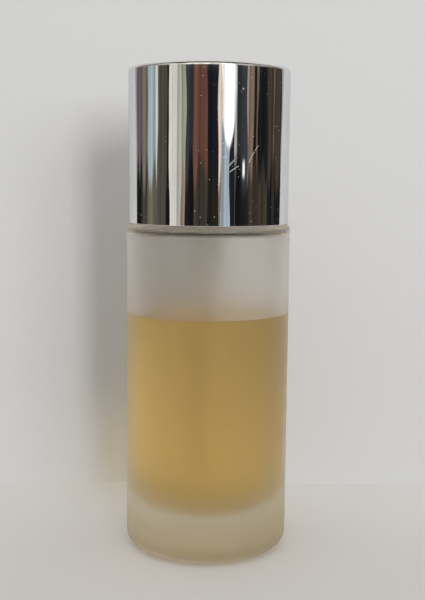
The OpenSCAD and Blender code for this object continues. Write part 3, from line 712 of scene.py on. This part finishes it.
def plain_stage(name, colour, one_sided=False, painted_light_colour=None):
    """Matt pale paint; one_sided lets a view from behind through; the optional second colour is painted
    light, a lighter tone towards the board.
    """
    material, tree, shader, output = finish(name)
    grain = effect(tree, "grain", Scale=400.0, Depth=1.0)
    if painted_light_colour:
        y = apart(tree, object_space(tree))[1]
        # Painted light: lighter towards the board
        colour = mix_colour(tree, span(tree, y, FLOOR_PAINTED_LIGHT_FROM, BOARD_Y), colour, painted_light_colour)
        tone = mix_colour(tree, grain["Value"], colour, painted_light_colour)
        tone = mix_colour(tree, 0.04, colour, tone)
    else:
        tone = mix_colour(tree, grain["Value"], tuple(c * 0.985 for c in colour), colour)
    tree.links.new(tone, shader.inputs["Base Color"])
    shader.inputs["Roughness"].default_value = 0.9
    shader.inputs["Specular IOR Level"].default_value = 0.2
    if one_sided:
        side = tree.nodes.new("ShaderNodeNewGeometry")
        mix_shaders(tree, output, side.outputs["Backfacing"], shader,
                    tree.nodes.new("ShaderNodeBsdfTransparent"))
    return material


def stage_sheet(name, points, faces, material):
    """Stage piece from points in metres."""
    mesh = bpy.data.meshes.new(name)
    mesh.from_pydata(points, [], faces)
    obj = bpy.data.objects.new(name, mesh)
    scene.collection.objects.link(obj)
    mesh.materials.append(material)
    return obj


stage_sheet("floor", [(-FLOOR_HALF, -FLOOR_HALF, 0), (FLOOR_HALF, -FLOOR_HALF, 0),
                      (FLOOR_HALF, FLOOR_HALF, 0), (-FLOOR_HALF, FLOOR_HALF, 0)], [(0, 1, 2, 3)],
            plain_stage("pale_floor", FLOOR_TONE, painted_light_colour=FLOOR_PAINTED_LIGHT_TONE))


def curled_board(steps=15):
    """Sheet standing behind the bottle, curling back from its middle up."""
    points = []
    for k in range(steps + 1):
        z = BOARD_TOP * k / steps
        y = BOARD_Y + BOARD_CURL * max(0, z - BOARD_CURL_Z) ** 2
        points += [(-BOARD_HALF, y, z), (BOARD_HALF, y, z)]
    faces = [(2 * k, 2 * k + 1, 2 * k + 3, 2 * k + 2) for k in range(steps)]
    paint = plain_stage("pale_board", BOARD_TONE, one_sided=True)
    stage_sheet("board", points, faces, paint).data.shade_smooth()


curled_board()

PAINTS = {
    "black": (0.012, 0.012, 0.013),
    "navy": (0.014, 0.014, 0.022),
    "slate": (0.038, 0.043, 0.050),
    "umber": (0.055, 0.044, 0.034),
    "chocolate": (0.022, 0.018, 0.015),
    "russet": (0.15, 0.068, 0.05),
    "tan": (0.21, 0.155, 0.115),
    "taupe": (0.10, 0.095, 0.075),
    "olive": (0.16, 0.14, 0.10),
    "violet": (0.14, 0.13, 0.15),
    "sage": (0.38, 0.40, 0.29),
    "blush": (0.36, 0.25, 0.21),
    "ice": (0.36, 0.43, 0.47),
    "cream": (0.62, 0.61, 0.54),
    "peach": (0.75, 0.60, 0.48),
    "white": (1.25, 1.25, 1.25),
}
# Studio card: name, from and to azimuth in degrees, paint, paint at its foot.
# Azimuth 0 is the camera's side and + is the camera's right.
STUDIO_CARDS = (
    ("violet_card", -121, -108, "violet", "black"),
    ("olive_card", -108, -95, "olive", "umber"),
    ("ice_card", -95, -79, "ice", "olive"),
    ("cream_trim", -79, -75, "cream", "taupe"),
    ("taupe_card", -75, -60, "taupe", "taupe"),
    ("black_trim", -60, -56, "chocolate", "black"),
    ("cream_card", -56, -38, "cream", "cream"),
    ("sage_card", -38, -32, "sage", "blush"),
    ("black_card", -32, -21, "slate", "black"),
    ("russet_card", -21, -2, "russet", "umber"),
    ("navy_card", -2, 13, "navy", "chocolate"),
    ("peach_card", 13, 17, "peach", "tan"),
    ("softbox_card", 17, 29, "white", "ice"),
    ("softbox_card_right", 29, 36, "white", "navy"),
    ("cream_trim_right", 36, 38, "cream", "taupe"),
    ("slate_card", 38, 54, "slate", "black"),
    ("blush_trim", 54, 56, "blush", "chocolate"),
    ("tan_card", 56, 64, "tan", "umber"),
    ("chocolate_card", 64, 69, "chocolate", "umber"),
    ("tan_trim", 69, 71, "tan", "umber"),
    ("black_card_right", 71, 89, "black", "umber"),
    ("umber_card", 89, 100, "umber", "black"),
    ("tan_trim_far", 100, 104, "tan", "umber"),
    ("umber_card_far", 104, 121, "umber", "black"),
)
CARD_R, CARD_BEND, CARD_LEAN_R, CARD_LEAN = 0.80, 0.30, 0.40, 0.92
CARD_LEVELS, CARD_SKY_Z, CARD_FOOT_RISE = 15, 0.215, (0.098, 0.128)
SOFTBOX_TIP, SOFTBOX_FOOT_RISE = 27.0, (0.138, 0.150)
CEILING_TONE, CEILING_AZIMUTH, CEILING_SPREAD = (1.0, 0.97, 0.89), -5.0, 45.0


def card_glow(name, paint, foot, sky, foot_rise, tip=None):
    """Glow of one studio card: foot, face and leaning top, with broad upright streaks.

    tip is the azimuth, in radians, at which the face reaches lowest."""
    material, tree, output = bare_material(name)
    glow = tree.nodes.new("ShaderNodeEmission")
    x, y, z = apart(tree, object_space(tree))
    broad, fine = noise(tree, 9.0, (1, 1, 0), 0.0), noise(tree, 30.0, (1, 1, 0.05))
    level = math_node(tree, "ADD", z, span(tree, broad, 0.3, 0.7, -0.02, 0.02))
    if tip is not None:
        turn = math_node(tree, "ARCTAN2", x, math_node(tree, "MULTIPLY", y, -1.0))
        aside = math_node(tree, "SUBTRACT", turn, tip)
        level = weighted(tree, z, (math_node(tree, "MULTIPLY", aside, aside), -1.2),
                         (noise(tree, 220.0, (1, 1, 0.3), 2.0), 0.008))
    face = mix_colour(tree, span(tree, level, *foot_rise), foot, paint)
    face = mix_colour(tree, span(tree, z, CARD_SKY_Z, CARD_BEND), face, sky)
    veil = math_node(tree, "MULTIPLY", span(tree, broad, 0.35, 0.65, 0.75, 1.2),
                     span(tree, fine, 0.35, 0.65, 0.85, 1.12))
    tree.links.new(mix_colour(tree, 1.0, face, veil, "MULTIPLY"), glow.inputs["Color"])
    tree.links.new(glow.outputs[0], output.inputs["Surface"])
    return material


def round_the_set(azimuth, r, z):
    """Point at an azimuth in degrees, a distance from the bottle's axis and a height, in metres."""
    a = math.radians(azimuth)
    return r * math.sin(a), -r * math.cos(a), z


def card_edge(azimuth, z):
    """Azimuth of a card's edge at a height: the cards hang a little out of true."""
    return azimuth + 0.9 * math.sin(30 * z + 0.9 * azimuth) + 0.5 * math.sin(67 * z + 2.3 * azimuth)


def studio_card(name, start, end, paint, foot):
    """Upright curved card that leans in overhead, seen only in mirrors and through glass."""
    steps = max(2, round((end - start) / 2))
    levels = [(CARD_R, CARD_BEND * k / CARD_LEVELS) for k in range(CARD_LEVELS + 1)]
    levels.append((CARD_LEAN_R, CARD_LEAN))
    points, faces = [], []
    for k in range(steps + 1):
        for r, z in levels:
            low, high = card_edge(start, min(z, CARD_BEND)), card_edge(end, min(z, CARD_BEND))
            points.append(round_the_set(low + (high - low) * k / steps, r, z))
    tall = len(levels)
    for k in range(steps):
        for j in range(tall - 1):
            faces.append((tall * k + j, tall * (k + 1) + j, tall * (k + 1) + j + 1, tall * k + j + 1))
    middle = (start + end) / 2
    share = 0.2 + 0.8 * math.exp(-((middle - CEILING_AZIMUTH) / CEILING_SPREAD) ** 2 / 2)
    sky = tuple(c * share for c in CEILING_TONE)
    if paint == "white":
        tip = math.radians(SOFTBOX_TIP)
        glow = card_glow(name, PAINTS[paint], PAINTS[foot], PAINTS[paint], SOFTBOX_FOOT_RISE, tip)
    else:
        glow = card_glow(name, PAINTS[paint], PAINTS[foot], sky, CARD_FOOT_RISE)
    card = stage_sheet(name, points, faces, glow)
    card.visible_camera = card.visible_diffuse = card.visible_shadow = False


for card in STUDIO_CARDS:
    studio_card(*card)


def dark_flag():
    """Dark cloth over the set, which the cap's top edge mirrors as a thin line."""
    half, back, front, low, high = 0.15, 0.03, -0.14, 0.30, 0.32
    points = [(-half, back, low), (half, back, low), (half, front, high), (-half, front, high)]
    glow = card_glow("dark_flag", PAINTS["umber"], PAINTS["umber"], PAINTS["umber"], (0.0, 0.01))
    flag = stage_sheet("dark_flag", points, [(0, 1, 2, 3)], glow)
    flag.visible_camera = flag.visible_diffuse = flag.visible_transmission = flag.visible_shadow = False


dark_flag()


def soft_card(name, place, azimuth, half_width, half_height, tone, fade=0.7):
    """Small glowing card with a soft edge, centred at a place and turned towards the bottle."""
    material, tree, output = bare_material(name)
    glow = node(tree, "ShaderNodeEmission", {"Color": (*tone, 1)})
    x, _, z = apart(tree, object_space(tree, (1 / half_width, 1, 1 / half_height)))
    share = math_node(tree, "MULTIPLY", span(tree, math_node(tree, "ABSOLUTE", x), 1.0, 1.0 - fade),
                      span(tree, math_node(tree, "ABSOLUTE", z), 1.0, 1.0 - fade))
    mix_shaders(tree, output, share, tree.nodes.new("ShaderNodeBsdfTransparent"), glow)
    corners = [(u * half_width, 0, v * half_height) for u, v in ((-1, -1), (1, -1), (1, 1), (-1, 1))]
    card = stage_sheet(name, corners, [(0, 1, 2, 3)], material)
    card.location = place
    card.rotation_euler.z = math.radians(azimuth)
    card.visible_camera = card.visible_diffuse = card.visible_shadow = False
    return card


# The bounce card is a painted patch of light on the board, seen only through the glass
BOUNCE_PLACE, BOUNCE_HALF, BOUNCE_TONE = (0.021, BOARD_Y - 0.001, 0.028), (0.020, 0.036), (0.92, 0.84, 0.71)
LAMP_AZIMUTH, LAMP_R, LAMP_Z = 49.0, 0.78, 0.116
LAMP_HALF, LAMP_TONE = (0.034, 0.012), (1.1, 1.1, 1.05)
bounce = soft_card("bounce_card", BOUNCE_PLACE, 0.0, *BOUNCE_HALF, BOUNCE_TONE)
bounce.visible_glossy = False
lamp_place = round_the_set(LAMP_AZIMUTH, LAMP_R, LAMP_Z)
soft_card("small_lamp_card", lamp_place, LAMP_AZIMUTH, *LAMP_HALF, LAMP_TONE)

SOFTBOX_AWAY, SOFTBOX_LOW, SOFTBOX_HIGH = 2.4, 0.21, 1.34


def tall_softbox(name, azimuth, width, power):
    """Upright lamp panel to the front right that faces the bottle; mirrors show the softbox cards for it."""
    data = bpy.data.lights.new(name, "AREA")
    data.shape = "RECTANGLE"
    data.size, data.size_y, data.energy = width, SOFTBOX_HIGH - SOFTBOX_LOW, power
    lamp = bpy.data.objects.new(name, data)
    scene.collection.objects.link(lamp)
    lamp.location = round_the_set(azimuth, SOFTBOX_AWAY, (SOFTBOX_LOW + SOFTBOX_HIGH) / 2)
    lamp.rotation_mode = "QUATERNION"
    lamp.rotation_quaternion = Vector(round_the_set(azimuth, 1.0, 0.0)).to_track_quat("Z", "Y")
    lamp.visible_glossy = lamp.visible_transmission = False


tall_softbox("key_softbox", 18.0, 0.36, 23.0)
tall_softbox("side_softbox", 31.5, 0.60, 11.5)

ROOM_TONE, ROOM_LEVEL, ROOM_OVERHEAD = (1.0, 0.955, 0.90, 1), 0.41, 0.82


def room_fill():
    """Even light from all round, stronger overhead."""
    world = bpy.data.worlds.new("room_fill")
    scene.world = world
    world.use_nodes = True
    tree = world.node_tree
    sky = tree.nodes["Background"]
    sky.inputs["Color"].default_value = ROOM_TONE
    direction = tree.nodes.new("ShaderNodeTexCoord").outputs["Generated"]
    strength = span(tree, apart(tree, direction)[2], 0.0, 0.9, ROOM_LEVEL, ROOM_OVERHEAD)
    tree.links.new(strength, sky.inputs["Strength"])


room_fill()

IMAGE_HEIGHT, FOCAL_PX, SENSOR = 600.0, 981.3, 36.0
CAMERA_PLACE = (0.0, -0.2892, 0.1103)
CAMERA_YAW, CAMERA_PITCH, CAMERA_ROLL = -0.290, 7.30, 0.529


def photo_camera():
    """Camera at the photograph's place and angle, for an image of 425 by 600."""
    data = bpy.data.cameras.new("photo_camera")
    data.sensor_fit = "AUTO"
    data.sensor_width = SENSOR
    data.lens = FOCAL_PX * SENSOR / IMAGE_HEIGHT
    data.clip_start, data.clip_end = 0.01, 20.0
    camera = bpy.data.objects.new("photo_camera", data)
    scene.collection.objects.link(camera)
    turn = Matrix.Rotation(math.radians(CAMERA_YAW), 4, "Z")
    turn = turn @ Matrix.Rotation(math.radians(90 - CAMERA_PITCH), 4, "X")
    turn = turn @ Matrix.Rotation(math.radians(CAMERA_ROLL), 4, "Z")
    camera.matrix_world = Matrix.Translation(CAMERA_PLACE) @ turn
    scene.camera = camera


photo_camera()
scene.view_settings.view_transform = "Standard"
scene.cycles.use_denoising = True
scene.cycles.max_bounces = 40
scene.cycles.glossy_bounces = 24
scene.cycles.transmission_bounces = 40
scene.cycles.blur_glossy = 0.0
